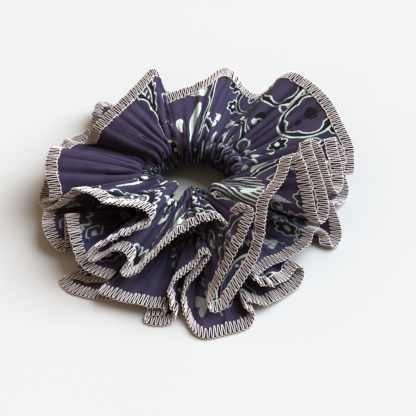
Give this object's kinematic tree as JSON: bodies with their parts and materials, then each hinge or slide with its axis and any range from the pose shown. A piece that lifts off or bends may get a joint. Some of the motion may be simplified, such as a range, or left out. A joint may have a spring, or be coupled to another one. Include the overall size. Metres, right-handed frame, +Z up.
{
  "type": "hair scrunchie",
  "caption": "Ruffled fabric scrunchie: a printed cotton strip gathered round an elastic ring, with two overlocked ruffle edges and an open middle.",
  "frame": {"origin": "on the table, under the middle of the ruffles' outline", "axes": "+Z up, out of the hole; +X to the right and -Y to the front, where the ruffles lie longest"},
  "size_m": [0.1371, 0.1365, 0.0377],
  "materials": {
    "printed_cotton": "matte dark purple print",
    "overlock_thread": "soft pinkish white thread",
    "sewing_thread": "dark purple thread",
    "elastic": "white braided elastic"
  },
  "bodies": {
    "left_half": {"casing_left": "printed_cotton", "upper_ruffle_left": "printed_cotton", "lower_ruffle_left": "printed_cotton", "elastic_band": "elastic", "upper_edge_needle_thread": "overlock_thread", "upper_edge_upper_looper": "overlock_thread", "upper_edge_lower_looper": "overlock_thread", "lower_edge_needle_thread": "overlock_thread", "lower_edge_upper_looper": "overlock_thread", "lower_edge_lower_looper": "overlock_thread", "casing_needle_thread": "sewing_thread", "casing_bobbin_thread": "sewing_thread", "closing_needle_thread": "sewing_thread", "closing_bobbin_thread": "sewing_thread", "front_seam_thread": "sewing_thread", "back_seam_thread": "sewing_thread", "elastic_join_stitch": "sewing_thread"},
    "right_half": {"casing_right": "printed_cotton", "upper_ruffle_right": "printed_cotton", "lower_ruffle_right": "printed_cotton"}
  },
  "joints": [
    {"name": "stretch", "type": "slide", "parent": "left_half", "child": "right_half", "axis": [1, 0, 0], "range_m": [0, 0.066], "stiffness_N_per_m": 50, "deforming": ["elastic_band", "upper_edge_needle_thread", "upper_edge_upper_looper", "upper_edge_lower_looper", "lower_edge_needle_thread", "lower_edge_upper_looper", "lower_edge_lower_looper", "casing_needle_thread", "casing_bobbin_thread"]}
  ]
}
